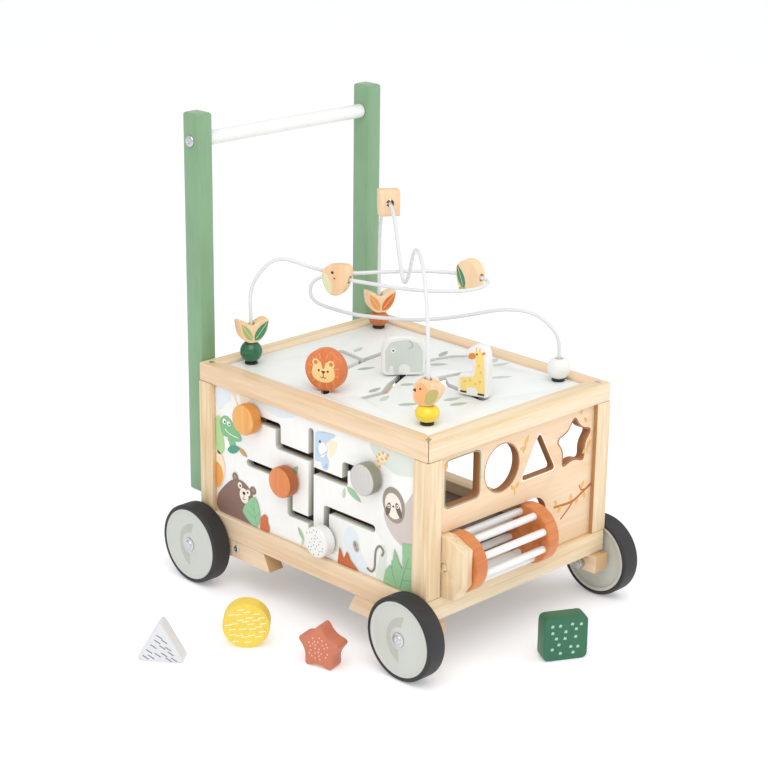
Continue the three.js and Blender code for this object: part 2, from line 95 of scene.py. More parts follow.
def makeWood(name, pale, dark, grain, roughness=0.42, depth=0.05, walls=None):
    material, tree, shader, place = startFinish(name, roughness)
    stretch = tuple(0.045 if axis == grain else 1 for axis in "XYZ")
    laid = addNode(tree, "ShaderNodeMapping", {"Vector": place, "Scale": stretch}).outputs[0]
    # growth lines about 5 mm apart
    streaks = addNode(tree, "ShaderNodeTexNoise", {"Vector": laid, "Scale": 210, "Detail": 3, "Roughness": 0.6, "Distortion": 0.4}).outputs[0]
    boards = addNode(tree, "ShaderNodeTexNoise", {"Vector": laid, "Scale": 38, "Detail": 2}).outputs[0]  # tone over a board's width
    pores = addNode(tree, "ShaderNodeTexNoise", {"Vector": laid, "Scale": 1300, "Detail": 2}).outputs[0]  # pores under 1 mm, drawn coarse to show
    toned = addNode(tree, "ShaderNodeMath", {0: streaks, 1: boards}, operation="ADD").outputs[0]
    spread = addNode(tree, "ShaderNodeMapRange", {"Value": toned, "From Min": 0.86, "From Max": 1.22}).outputs[0]
    body = addNode(tree, "ShaderNodeMix", {0: spread, 6: linear(pale), 7: linear(dark)}, data_type="RGBA").outputs[2]
    poreShade = addNode(tree, "ShaderNodeMapRange", {"Value": pores, "From Min": 0.55, "From Max": 0.75, "To Min": 0, "To Max": 0.22}).outputs[0]
    colour = addNode(tree, "ShaderNodeMix", {0: poreShade, 6: body, 7: linear(dark)}, data_type="RGBA").outputs[2]
    if walls:
        colour = shadeWalls(tree, colour, *walls)
    tree.links.new(colour, shader.inputs["Base Color"])
    ridge = addNode(tree, "ShaderNodeMath", {0: streaks, 1: pores}, operation="ADD").outputs[0]
    bump = addNode(tree, "ShaderNodeBump", {"Height": ridge, "Strength": 0.35, "Distance": depth / 1000})
    tree.links.new(bump.outputs[0], shader.inputs["Normal"])
    return material


def makePaint(name, hexColour, roughness, coat=0.0, grain="Z", depth=0.03, vary=0.10, walls=None, **sockets):
    material, tree, shader, place = startFinish(name, roughness, Coat_Weight=coat, Coat_Roughness=0.18, **sockets)
    stretch = tuple(0.08 if axis == grain else 1 for axis in "XYZ")
    laid = addNode(tree, "ShaderNodeMapping", {"Vector": place, "Scale": stretch}).outputs[0]
    grainLines = addNode(tree, "ShaderNodeTexNoise", {"Vector": laid, "Scale": 420, "Detail": 3}).outputs[0]  # grain showing through, 2 to 3 mm
    cloud = addNode(tree, "ShaderNodeTexNoise", {"Vector": place, "Scale": 30, "Detail": 2}).outputs[0]  # uneven coat over 30 mm
    mixed = addNode(tree, "ShaderNodeMath", {0: grainLines, 1: cloud}, operation="ADD").outputs[0]
    shade = addNode(tree, "ShaderNodeMapRange", {"Value": mixed, "From Min": 0.8, "From Max": 1.25, "To Min": 0, "To Max": 1}).outputs[0]
    base = linear(hexColour)
    deep = tuple(c * (1 - vary) for c in base[:3]) + (1,)
    lift = tuple(min(1, c * (1 + vary * 0.7)) for c in base[:3]) + (1,)
    colour = addNode(tree, "ShaderNodeMix", {0: shade, 6: lift, 7: deep}, data_type="RGBA").outputs[2]
    if walls:
        colour = shadeWalls(tree, colour, *walls)
    tree.links.new(colour, shader.inputs["Base Color"])
    bump = addNode(tree, "ShaderNodeBump", {"Height": grainLines, "Strength": 0.3, "Distance": depth / 1000})
    tree.links.new(bump.outputs[0], shader.inputs["Normal"])
    return material


finish = {
    # lacquered pine: pale straight grain under a thin satin coat
    "pineX": makeWood("lacquered_pine_along_x", "F0DEC0", "E2C69A", "X"),
    "pineY": makeWood("lacquered_pine_along_y", "EDD4B4", "E2C199", "Y"),
    "pineZ": makeWood("lacquered_pine_along_z", "EED9B7", "DAB787", "Z"),
    "blockPine": makeWood("sawn_pine_wheel_block_end_grain_and_painted_shade", "EDD4B4", "E2C199", "Y", walls=("X", "CDAA7C")),  # the faces away from the X sides darker: partly end grain, partly painted shade on the sawn ends
    # birch plywood, faintly peach, with cut edges scorched brown
    "ply": makeWood("sanded_birch_ply", "F0D5B4", "EAC8A0", "X", 0.5, 0.02, walls=("Y", "AC784B")),
    "bead": makeWood("sanded_beech_beads", "F2D3AC", "EABF90", "Z", 0.5, 0.02),
    "darkBoard": makeWood("fibreboard_floor", "75604F", "5F4B3D", "Y", 0.6, 0.03),
    # orange water stain over beech: grain still shows
    "orange": makeWood("orange_stained_beech", "DF8148", "D27238", "Z", 0.4, 0.03),
    # knob rims: the faces turned away from X take a darker colour, painted shade
    "orangeKnob": makeWood("orange_stained_knob_painted_shade_rim", "E5955C", "D97F42", "Z", 0.4, 0.04, walls=("X", "A85A2A")),
    "orangeDrum": makeWood("orange_stained_drum", "DA8B52", "CB753C", "X", 0.42, 0.03),
    "amber": makeWood("amber_stained_knob_painted_shade_rim", "EFB56C", "E3A04E", "Z", 0.4, 0.04, walls=("X", "D98F42")),
    "rust": makeWood("rust_stained_beech", "C4733F", "B5602F", "Z", 0.35, 0.02),
    "board": makePaint("printed_fibreboard", "EEF0ED", 0.42, walls=("Z", "DDDED9"), vary=0.02, depth=0.01),
    "maze": makePaint("printed_maze_board", "F4F4F0", 0.42, walls=("X", "DCDCD3"), vary=0.02, depth=0.01),
    "green": makePaint("sage_green_enamel", "7DA37C", 0.36, coat=0.25, vary=0.05),
    "white": makePaint("white_enamel", "ECECE9", 0.34, coat=0.3, grain="X", vary=0.02),
    # grey knob rim: the faces turned away from X take a darker colour, painted shade
    "grey": makePaint("warm_grey_enamel_painted_shade_rim", "CBC7C1", 0.42, vary=0.05, walls=("X", "8A8C7A")),
    "greenGloss": makePaint("bottle_green_gloss", "1B6440", 0.2, coat=0.3, vary=0.05, depth=0.01),
    "yellow": makePaint("yellow_gloss", "F6D830", 0.22, coat=0.5, vary=0.04, depth=0.01),
    "blockWhite": makePaint("cool_white_paint", "DCDDDF", 0.45, vary=0.02),
    "straw": makePaint("straw_yellow_paint", "EED050", 0.45, vary=0.06),
    "clay": makePaint("clay_red_paint", "C9775A", 0.5, vary=0.06),
    "moss": makePaint("moss_green_paint", "2B6A4C", 0.42, vary=0.08),
    # ABS wheel disc, moulded, fine matt grain
    "disc": makePaint("moulded_abs_disc", "C9CCC4", 0.42, vary=0.02, depth=0.02),
    # rubber tyre, moulded: matt, barely uneven
    "tyre": makePaint("moulded_rubber", "2C2B2C", 0.6, vary=0.15, depth=0.05),
    "steel": makePaint("zinc_plated_steel", "C9CCCE", 0.28, vary=0.08, depth=0.02, Metallic=1.0),
    "wire": makePaint("powder_coated_wire", "DEDEDF", 0.4, coat=0.2, vary=0.02, depth=0.02),
    "black": makePaint("black_moulded_foot", "24211F", 0.45, vary=0.1, depth=0.02),
}


def ink(hexColour):
    # screen ink: a thin matt film, slightly uneven where it dried
    name = "screen_ink_" + hexColour.lower()
    if name not in bpy.data.materials:
        makePaint(name, hexColour, 0.5, vary=0.02, depth=0.005)
    return bpy.data.materials[name]


print("finishes made:", len(finish))


# ---- making pieces ----
smoothAngle = math.radians(38)  # edges sharper than this stay sharp
weldGap = 1e-5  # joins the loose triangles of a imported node


def selectOnly(obj):
    bpy.ops.object.select_all(action="DESELECT")
    obj.select_set(True)
    bpy.context.view_layer.objects.active = obj
    return obj


def tidyMesh(obj):
    selectOnly(obj)
    bpy.ops.object.mode_set(mode="EDIT")
    bpy.ops.mesh.select_all(action="SELECT")
    bpy.ops.mesh.remove_doubles(threshold=2e-6)
    bpy.ops.mesh.normals_make_consistent(inside=False)
    bpy.ops.object.mode_set(mode="OBJECT")
    return obj


def softenEdges(obj, width, segments=2, angle=32):
    selectOnly(obj)
    bevel = obj.modifiers.new("edges", "BEVEL")
    bevel.width = width / 1000
    bevel.segments = segments
    bevel.limit_method = "ANGLE"
    bevel.angle_limit = math.radians(angle)
    bpy.ops.object.modifier_apply(modifier=bevel.name)
    bpy.ops.object.shade_smooth_by_angle(angle=smoothAngle)
    return obj


def settle(obj, at, turn=0, tilt=0, flat=False):
    # a piece drawn flat is stood up, tilted, turned and put in its place
    selectOnly(obj)
    obj.rotation_euler = (0 if flat else math.pi / 2, math.radians(tilt), math.radians(turn))
    obj.location = mm(*at)
    bpy.ops.object.transform_apply(location=True, rotation=True, scale=True)
    return obj


def turnPiece(name, profile, sides=56, closed=False):
    # a ring drawn up along Z, one extrusion and one scaling for each step of the profile
    bpy.ops.object.select_all(action="DESELECT")
    radius, height = profile[0]
    bpy.ops.mesh.primitive_circle_add(vertices=sides, radius=radius / 1000, location=(0, 0, height / 1000))
    obj = bpy.context.object
    obj.name = name
    obj.data.name = name
    bpy.ops.object.transform_apply(location=True, rotation=True, scale=True)
    bpy.ops.object.mode_set(mode="EDIT")
    bpy.ops.mesh.select_all(action="SELECT")
    if not closed:
        bpy.ops.mesh.edge_face_add()
        bpy.ops.mesh.select_all(action="SELECT")
        bpy.ops.mesh.extrude_region_move(TRANSFORM_OT_translate={"value": (0, 0, (profile[1][1] - height) / 1000)})
        scale = profile[1][0] / radius
        bpy.ops.transform.resize(value=(scale, scale, 1), center_override=(0, 0, 0))
        radius, height = profile[1]
        rest = profile[2:]
    else:
        rest = profile[1:]
    for nextRadius, nextHeight in rest:
        bpy.ops.mesh.extrude_region_move(TRANSFORM_OT_translate={"value": (0, 0, (nextHeight - height) / 1000)})
        scale = nextRadius / radius
        bpy.ops.transform.resize(value=(scale, scale, 1), center_override=(0, 0, 0))
        radius, height = nextRadius, nextHeight
    bpy.ops.object.mode_set(mode="OBJECT")
    return tidyMesh(obj)


def joinPieces(name, pieces):
    bpy.ops.object.select_all(action="DESELECT")
    for piece in pieces:
        piece.select_set(True)
    bpy.context.view_layer.objects.active = pieces[0]
    if len(pieces) > 1:
        bpy.ops.object.join()
    obj = bpy.context.view_layer.objects.active
    obj.name = name
    obj.data.name = name
    return obj


def dress(obj, material):
    obj.data.materials.clear()
    obj.data.materials.append(material)
    return obj


def fit(obj, body, slot, *replaced):
    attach(obj, body)
    if replaced:
        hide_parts(*replaced)
    return obj


def cutBore(obj, at, direction, radius):
    # a straight bore through the piece
    bpy.ops.object.select_all(action="DESELECT")
    bpy.ops.mesh.primitive_cylinder_add(vertices=28, radius=radius / 1000, depth=0.12, location=mm(*at))
    tool = bpy.context.object
    tool.rotation_euler = Vector(direction).to_track_quat("Z", "Y").to_euler()
    selectOnly(obj)
    hole = obj.modifiers.new("bore", "BOOLEAN")
    hole.object = tool
    hole.operation = "DIFFERENCE"
    hole.solver = "EXACT"
    bpy.ops.object.modifier_apply(modifier=hole.name)
    bpy.data.objects.remove(tool)
    return obj


# ---- outlines, as [across, up] ----
def rounded(corners, radius, steps=6):
    outline = []
    for i, corner in enumerate(corners):
        here = Vector(corner)
        before, after = Vector(corners[i - 1]) - here, Vector(corners[(i + 1) % len(corners)]) - here
        start = here + before * min(radius / before.length, 0.5)
        end = here + after * min(radius / after.length, 0.5)
        for k in range(steps + 1):
            t = k / steps
            outline.append(start * (1 - t) ** 2 + here * 2 * t * (1 - t) + end * t * t)
    return [point for i, point in enumerate(outline) if (point - outline[i - 1]).length > 0.02]


def ellipse(across, up, wide, high=None, turn=0, count=26):
    high = wide if high is None else high
    cosTurn, sinTurn = math.cos(math.radians(turn)), math.sin(math.radians(turn))
    points = []
    for k in range(count):
        u, v = wide * math.cos(2 * math.pi * k / count), high * math.sin(2 * math.pi * k / count)
        points.append(Vector((across + u * cosTurn - v * sinTurn, up + u * sinTurn + v * cosTurn)))
    return points


def leaf(base, tip, wide, count=9, belly=0.42):
    start, along = Vector(base), Vector(tip) - Vector(base)
    side = Vector((-along.y, along.x)).normalized() * wide / 2
    shares = [k / count for k in range(1, count)]
    swell = [math.sin(math.pi * t ** (math.log(0.5) / math.log(belly))) ** 0.85 for t in shares]
    left = [start + along * t + side * s for t, s in zip(shares, swell)]
    right = [start + along * t - side * s for t, s in zip(shares, swell)]
    return [start] + right + [start + along] + left[::-1]


def strip(points, wide, taper=1.0):
    # a brush line of a given width, round at both ends
    points = [Vector(point) for point in points]
    left, right = [], []
    for i, point in enumerate(points):
        along = (points[min(i + 1, len(points) - 1)] - points[max(i - 1, 0)]).normalized()
        side = Vector((-along.y, along.x)) * wide / 2 * (1 + (taper - 1) * i / (len(points) - 1))
        left.append(point + side)
        right.append(point - side)
    ends = []
    for point, side in ((points[-1], right[-1] - points[-1]), (points[0], left[0] - points[0])):
        ends.append([point + Matrix.Rotation(math.radians(a), 2) @ side for a in (45, 90, 135)])
    return right + ends[0] + left[::-1] + ends[1]


def arc(points, steps=8):
    # a smooth line through the points given
    points = [Vector(point) for point in points]
    line = []
    for i in range(len(points) - 1):
        p0, p1, p2, p3 = points[max(i - 1, 0)], points[i], points[i + 1], points[min(i + 2, len(points) - 1)]
        for k in range(steps):
            t = k / steps
            line.append(0.5 * (2 * p1 + (p2 - p0) * t + (2 * p0 - 5 * p1 + 4 * p2 - p3) * t * t + (3 * p1 - p0 - 3 * p2 + p3) * t ** 3))
    return line + [points[-1]]


def drawBoard(name, outlines, low, high, material, rounding=0.0):
    # a filled outline with thickness, its face towards +Z until it is settled
    curve = bpy.data.curves.new(name, "CURVE")
    curve.dimensions = "2D"
    curve.fill_mode = "BOTH"
    curve.extrude = max((high - low) / 2 - rounding, 0.001) / 1000
    curve.bevel_depth = rounding / 1000
    curve.bevel_resolution = 3
    curve.offset = -rounding / 1000
    for outline in outlines:
        spline = curve.splines.new("POLY")
        spline.points.add(len(outline) - 1)
        for point, place in zip(spline.points, outline):
            point.co = (place[0] / 1000, place[1] / 1000, 0, 1)
        spline.use_cyclic_u = True
    obj = bpy.data.objects.new(name, curve)
    bpy.context.scene.collection.objects.link(obj)
    selectOnly(obj)
    bpy.ops.object.convert(target="MESH")
    obj = bpy.context.object
    obj.location = (0, 0, (low + high) / 2000)
    bpy.ops.object.transform_apply(location=True, rotation=True, scale=True)
    dress(obj, material)
    tidyMesh(obj)
    if rounding:
        bpy.ops.object.shade_smooth_by_angle(angle=smoothAngle)
    return obj


filmThick = 0.09  # each ink film stands this much over the one below
filmLift = {"main": 0.4, "lowLeaves": 0.85, "rightLeaves": 0.95}  # keeps prints that cross from sharing a height


def printOn(name, body, slot, place, layers, above=0.0):
    # layers of ink from the bottom up: (colour, outlines)
    # or (colour, outlines, True) where the marks stand apart or ring one another
    films = []
    for i, (hexColour, outlines, *apart) in enumerate(layers):
        for k, group in enumerate([outlines] if apart else [[outline] for outline in outlines]):
            films.append(drawBoard(name, group, above + 0.02, above + filmThick * (i + 1) + 0.006 * k, ink(hexColour)))
    return fit(settle(joinPieces(name, films), **place), body, slot)


def softenNode(names, width, material, segments=3):
    for name in names:
        node = nodes[name]
        weld = node.modifiers.new("weld", "WELD")
        weld.merge_threshold = weldGap
        bevel = node.modifiers.new("edges", "BEVEL")
        bevel.width = width / 1000
        bevel.segments = segments
        bevel.limit_method = "ANGLE"
        bevel.angle_limit = smoothAngle
        bevel.harden_normals = True
        for face in node.data.polygons:
            face.use_smooth = True
        node.material_slots[0].material = material


# ---- frame: rails, posts and panels keep their shape, with eased edges and a finish ----
softenNode(["top_rail_front", "top_rail_rear"], 1.6, finish["pineX"])
softenNode(["bottom_rail_front", "bottom_rail_rear"], 1.2, finish["pineX"])
softenNode(["top_rail_left", "top_rail_right"], 1.6, finish["pineY"])
softenNode(["bottom_rail_left", "bottom_rail_right"], 1.2, finish["pineY"])
softenNode([f"post_{end}_{side}" for end in ("front", "rear") for side in ("left", "right")], 1.0, finish["pineZ"])
softenNode(["drum_cradle"], 2.2, finish["pineZ"])
softenNode([f"wheel_block_{end}_{side}" for end in ("front", "rear") for side in ("left", "right")], 0.9, finish["blockPine"])
softenNode(["top_panel"], 0.35, finish["board"], 2)
softenNode(["maze_panel"], 0.35, finish["maze"], 2)
softenNode(["shape_panel"], 0.35, finish["ply"], 2)
softenNode(["floor_panel"], 0.5, finish["darkBoard"])
softenNode(["handle_post_left", "handle_post_right"], 0.9, finish["green"])
for name in ("loop_wire", "arch_wire"):
    node = nodes[name]
    node.modifiers.new("weld", "WELD").merge_threshold = weldGap
    smooth = node.modifiers.new("round", "SUBSURF")
    smooth.levels = smooth.render_levels = 2
    swell = node.modifiers.new("full", "DISPLACE")
    swell.strength = 0.0003  # the subdivision draws the wire in by this much
    swell.mid_level = 0
    for face in node.data.polygons:
        face.use_smooth = True
    node.material_slots[0].material = finish["wire"]
print("frame dressed")

# ---- wheels ----
wheel = {
    "axles": {"front": -156, "rear": 164}, "height": 43.7,
    "tyre": [(39.5, 137.1), (41.4, 137.1), (42.8, 137.7), (43.5, 138.8), (43.7, 140.2), (43.7, 156.4),
             (43.5, 157.8), (42.8, 158.9), (41.4, 159.5), (39.5, 159.5), (39.5, 137.1)],
    "disc": [(4.6, 137.6), (8, 137.6), (8, 140.4), (34.5, 140.4), (36, 137.6), (39.2, 137.6), (39.2, 159.1), (37.4, 159.1),
             (35.6, 157.3), (12.6, 157.3), (11.2, 158.1), (10, 158.5), (4.6, 158.5), (4.6, 137.6)],
    "bolt": [(4, 107), (4, 158.6), (7.5, 158.6), (7.5, 159.7), (5, 159.9), (4.6, 161), (3.4, 161.8), (1.8, 162.0), (0.6, 161.4)],
    "crescent": {"outer": (8, -1, 26), "inner": (2, 0, 11), "from": 95, "to": 250, "ink": "B7BAAF"},
}


def arcAbout(x, y, radius, fromDeg, toDeg, count=26):
    angles = [math.radians(fromDeg + (toDeg - fromDeg) * k / count) for k in range(count + 1)]
    return [Vector((x + radius * math.cos(a), y + radius * math.sin(a))) for a in angles]


for end, axleY in wheel["axles"].items():
    for side, sign in (("left", -1), ("right", 1)):
        corner = f"{end}_{side}"
        spin = "wheel_" + corner

        def upright(obj):  # turned piece laid along X, pointing outwards
            selectOnly(obj)
            obj.rotation_euler = (0, sign * math.pi / 2, 0)
            obj.location = mm(0, axleY, wheel["height"])
            bpy.ops.object.transform_apply(location=True, rotation=True, scale=True)
            return obj

        tyre = upright(softenEdges(turnPiece("tyre_ring_" + corner, wheel["tyre"], 96, True), 0.3, 2, 40))
        fit(dress(tyre, finish["tyre"]), spin, "tyre", "tyre_" + corner)
        disc = upright(softenEdges(turnPiece("wheel_face_" + corner, wheel["disc"], 96, True), 0.4, 2, 25))
        fit(dress(disc, finish["disc"]), spin, "wheel_grey", "wheel_disc_" + corner)
        shank = softenEdges(turnPiece("wheel_bolt_head_" + corner, wheel["bolt"], 40), 0.25, 2, 30)
        bpy.ops.object.select_all(action="DESELECT")
        bpy.ops.mesh.primitive_cylinder_add(vertices=6, radius=0.007, depth=0.0057, location=(0, 0, 0.11185))
        nut = softenEdges(bpy.context.object, 0.5, 2)
        bpy.ops.object.transform_apply(location=True, rotation=True, scale=True)
        bolt = upright(joinPieces("wheel_bolt_head_" + corner, [shank, nut]))
        fit(dress(bolt, finish["steel"]), "frame", "bolt_steel", "wheel_bolt_" + corner)
        crescent = wheel["crescent"]
        printOn("crescent_" + corner, spin, "wheel_grey", {"at": (sign * 157.3, axleY, wheel["height"]), "turn": sign * 90},
                [(crescent["ink"], [arcAbout(*crescent["outer"], crescent["from"], crescent["to"]) +
                                    arcAbout(*crescent["inner"], crescent["to"], crescent["from"])])])
print("wheels made")

# ---- small hardware ----
hardware = {
    "foot": [(2.3, 242.2), (6.9, 242.2), (6.9, 244.2), (5.9, 245.1), (2.3, 245.1), (2.3, 242.2)],
    "feet": {"rear_left": (-92, 136), "rear_right": (98, 136), "front_left": (-90, -123), "front_right": (106, -123)},
    "plug": [(3.1, 245.03), (3.1, 245.25), (2.2, 245.42), (0.5, 245.3)],
    "plugs": [(-126, -160), (126, -160), (-126, 160), (126, 160)],
    "handleBolt": [(6.2, 131.7), (6.2, 132.5), (5.6, 133.4), (4, 134.1), (2.6, 134.2), (2.4, 133.3), (0.6, 133.3)],
    "screw": [(3.8, 135.1), (3.8, 135.6), (3, 136.3), (1.6, 136.5), (0.5, 135.9)],
}
for corner, (x, y) in hardware["feet"].items():
    foot = settle(turnPiece("wire_foot_" + corner, hardware["foot"], 36, True), (x, y, 0), flat=True)
    fit(dress(softenEdges(foot, 0.2), finish["black"]), "frame", "tyre")
plugs = [settle(turnPiece("screw", hardware["plug"], 24), (x, y, 0), flat=True) for x, y in hardware["plugs"]]
plugRow = joinPieces("frame_screws", plugs)
fit(dress(softenEdges(plugRow, 0.1), finish["steel"]), "frame", "bolt_steel")
for side, sign in (("left", -1), ("right", 1)):
    head = turnPiece("handle_bolt_" + side, hardware["handleBolt"], 36)
    head.rotation_euler = (0, sign * math.pi / 2, 0)
    head.location = mm(0, 182.45, 480)
    selectOnly(head)
    bpy.ops.object.transform_apply(location=True, rotation=True, scale=True)
    fit(dress(softenEdges(head, 0.2), finish["steel"]), "frame", "bolt_steel")
    for y in (113, -112):
        screw = turnPiece(f"block_screw_{side}", hardware["screw"], 28)
        screw.rotation_euler = (0, sign * math.pi / 2, 0)
        screw.location = mm(0, y, 47.5)
        selectOnly(screw)
        bpy.ops.object.transform_apply(location=True, rotation=True, scale=True)
        fit(dress(softenEdges(screw, 0.12), finish["steel"]), "frame", "bolt_steel")

# ---- push rod ----
rod = turnPiece("push_rod", [(7.2, -111.3), (7.75, -110.5), (7.75, 110.5), (7.2, 111.3)], 48)
rod.rotation_euler = (0, math.pi / 2, 0)
rod.location = mm(0, 182.45, 480)
selectOnly(rod)
bpy.ops.object.transform_apply(location=True, rotation=True, scale=True)
fit(dress(softenEdges(rod, 0.3), finish["white"]), "frame", "white_paint", "handle_rod")

# ---- maze knobs ----
knobs = {
    "profile": [(9.5, 117.8), (9.5, 120.8), (3.3, 120.8), (3.3, 133), (15.2, 133), (16.5, 134.3), (16.5, 145.2), (14.8, 147)],
    "pieces": {
        "amber": (89, 203, "amber", "amber_stain"), "orange": (32, 150, "orangeKnob", "orange_stain"),
        "grey": (-89, 188, "grey", "grey_paint"), "dotted": (-23, 101, "white", "white_paint"),
    },
}
for name, (y, z, finishName, slot) in knobs["pieces"].items():
    knob = turnPiece("maze_knob_" + name, knobs["profile"], 64)
    knob.rotation_euler = (0, -math.pi / 2, 0)
    knob.location = mm(0, y, z)
    selectOnly(knob)
    bpy.ops.object.transform_apply(location=True, rotation=True, scale=True)
    fit(dress(softenEdges(knob, 0.7, 3, 25), finish[finishName]), "knob_" + name, slot, "knob_" + name)
scatter = random.Random(4)
dots = []
while len(dots) < 24:
    angle, reach = scatter.uniform(0, 2 * math.pi), 14 * math.sqrt(scatter.random())
    spot = Vector((reach * math.cos(angle), reach * math.sin(angle)))
    if all((spot - other).length > 3.4 for other in dots):
        dots.append(spot)
printOn("knob_dots", "knob_dotted", "white_paint", {"at": (-147, -23, 101), "turn": -90},
        [("4A4744", [ellipse(spot.x, spot.y, 0.75, 0.55, scatter.uniform(0, 180), 10) for spot in dots], True)])
print("hardware, rod and knobs made")

# ---- rattle drum ----
drum = {"y": -172, "z": 112, "radius": 31, "thick": 16, "left": -98.5, "right": 23.5, "rod": 3.9, "ring": 24.5, "rods": 8}
drumParts = []
for low in (drum["left"], drum["right"] - drum["thick"]):
    high = low + drum["thick"]
    wheelPiece = softenEdges(turnPiece("drum_disc", [(29.6, low), (31, low + 1.2), (31, high - 1.2), (29.6, high)], 80), 0.8, 3, 25)
    drumParts.append(dress(wheelPiece, finish["orangeDrum"]))
for k in range(drum["rods"]):
    angle = (k + 0.5) * 2 * math.pi / drum["rods"]
    bar = turnPiece("drum_bar", [(3.9, drum["left"] + 15), (3.9, drum["right"] - 15)], 24)
    bar.location = (-drum["ring"] * math.sin(angle) / 1000, drum["ring"] * math.cos(angle) / 1000, 0)
    selectOnly(bar)
    bpy.ops.object.transform_apply(location=True, rotation=True, scale=True)
    bpy.ops.object.shade_smooth_by_angle(angle=smoothAngle)
    drumParts.append(dress(bar, finish["white"]))
for low, high in ((drum["left"] - 15, drum["left"] + 0.5), (drum["right"] - 0.5, drum["right"] + 14)):
    drumParts.append(dress(softenEdges(turnPiece("drum_stub", [(4, low), (4, high)], 32), 0.5), finish["pineX"]))
drumPiece = joinPieces("drum_rattle", drumParts)
drumPiece.rotation_euler = (0, math.pi / 2, 0)
drumPiece.location = mm(0, drum["y"], drum["z"])
selectOnly(drumPiece)
bpy.ops.object.transform_apply(location=True, rotation=True, scale=True)
fit(drumPiece, "drum_cage", "orange_stain", "drum_cage")
print("drum made")

# ---- loose blocks ----
starCorners = [((16 if i % 2 else 27.5) * math.cos(math.pi / 2 + i * math.pi / 5),
                (16 if i % 2 else 27.5) * math.sin(math.pi / 2 + i * math.pi / 5)) for i in range(10)]
sorter = {
    "triangle": {"outline": rounded([(-25.5, -17), (25.5, -17), (0, 28)], 7, 10), "at": (-296.5, 40), "turn": -52.8,
                 "finish": "blockWhite", "slot": "white_paint", "hole": (30.5, 186)},
    "disc": {"outline": ellipse(0, 0, 24.2, count=72), "at": (-214, 6), "turn": -45, "finish": "straw",
             "slot": "yellow_paint", "hole": (-25, 191)},
    "star": {"outline": rounded(starCorners, 7.5, 6), "at": (-188, -80), "turn": -76, "finish": "clay",
             "slot": "clay_paint", "hole": (85, 189.5)},
    "square": {"outline": rounded([(-23.5, -23.5), (23.5, -23.5), (23.5, 23.5), (-23.5, 23.5)], 7, 10), "at": (-0.5, -232),
               "turn": -28.5, "finish": "moss", "slot": "moss_paint", "hole": (-82, 194)},
}
marks = random.Random(11)


def scatterSpots(count, inside, apart):
    spots = []
    for attempt in range(4000):
        spot = Vector((marks.uniform(-24, 24), marks.uniform(-24, 28)))
        if inside(spot) and all((spot - other).length > apart for other in spots):
            spots.append(spot)
        if len(spots) == count:
            break
    return spots


dashes = [strip([(s.x - 2.8, s.y + 1.8), (s.x + 2.8, s.y - 1.8)], 0.9)
          for s in scatterSpots(22, lambda p: p.y > -14 and abs(p.x) < (25 - p.y) * 0.52 - 5, 5.4)]
strokes = [strip([(s.x - 3, s.y - 0.5), (s.x + 3, s.y + 0.3)], 1.1)
           for s in scatterSpots(26, lambda p: p.length < 20, 5.4)]
pips = [ellipse(s.x, s.y, 0.9, 0.9, 0, 10) for s in scatterSpots(26, lambda p: p.length < 12.5, 3.4)]
flecks = [rounded([(s.x - 1.9, s.y - 1.2), (s.x + 1.4, s.y - 1.7), (s.x + 1.9, s.y + 1), (s.x - 0.7, s.y + 1.8)], 0.7, 3)
          for s in scatterSpots(17, lambda p: max(abs(p.x), abs(p.y)) < 16, 7)]
pattern = {"triangle": ("5F5C58", dashes), "disc": ("FBF2C6", strokes), "star": ("F0B79B", pips), "square": ("A9CDB6", flecks)}
for name, block in sorter.items():
    outline = block["outline"]
    lowest = min(point[1] for point in outline)
    place = {"at": (*block["at"], -lowest), "turn": block["turn"]}
    piece = drawBoard("block_" + name, [outline], -9.5, 9.5, finish[block["finish"]], 1.3)
    fit(settle(piece, **place), "sorter_" + name, block["slot"], "sorter_" + name)
    printOn("marks_" + name, "sorter_" + name, block["slot"], place, [(*pattern[name], True)], above=9.5)
print("blocks made")

# ---- beads on the wires ----
def turnAlong(first, last):  # the way a wire runs, from foot to foot
    (x0, y0), (x1, y1) = hardware["feet"][first], hardware["feet"][last]
    return math.degrees(math.atan2(y1 - y0, x1 - x0))


loopTurn = turnAlong("rear_left", "front_right")
archTurn = turnAlong("rear_right", "front_left")
footTop = 245.4
beadBore = 4.3


def ballProfile(radius, high):
    widest = math.acos(min(1, beadBore * 1.5 / radius))
    profile = [(beadBore, -high / 2)]
    for k in range(17):
        angle = widest * (k / 8 - 1)
        profile.append((radius * math.cos(angle), high / 2 * math.sin(angle) / math.sin(widest)))
    return profile + [(beadBore, high / 2), (beadBore, -high / 2)]


balls = {
    "green_ball": (-92, 136, 12, 20.5, "greenGloss", "green_gloss"),
    "rust_ball": (98, 136, 11.5, 15, "rust", "rust_stain"),
    "yellow_ball": (-90, -123, 12.5, 16.5, "yellow", "yellow_paint"),
    "white_ball": (106, -123, 12.5, 21, "white", "white_paint"),
}
for name, (x, y, radius, high, finishName, slot) in balls.items():
    ball = settle(turnPiece("turned_" + name, ballProfile(radius, high), 56, True), (x, y, footTop + high / 2), flat=True)
    fit(dress(softenEdges(ball, 0.4, 2, 40), finish[finishName]), name, slot, name)

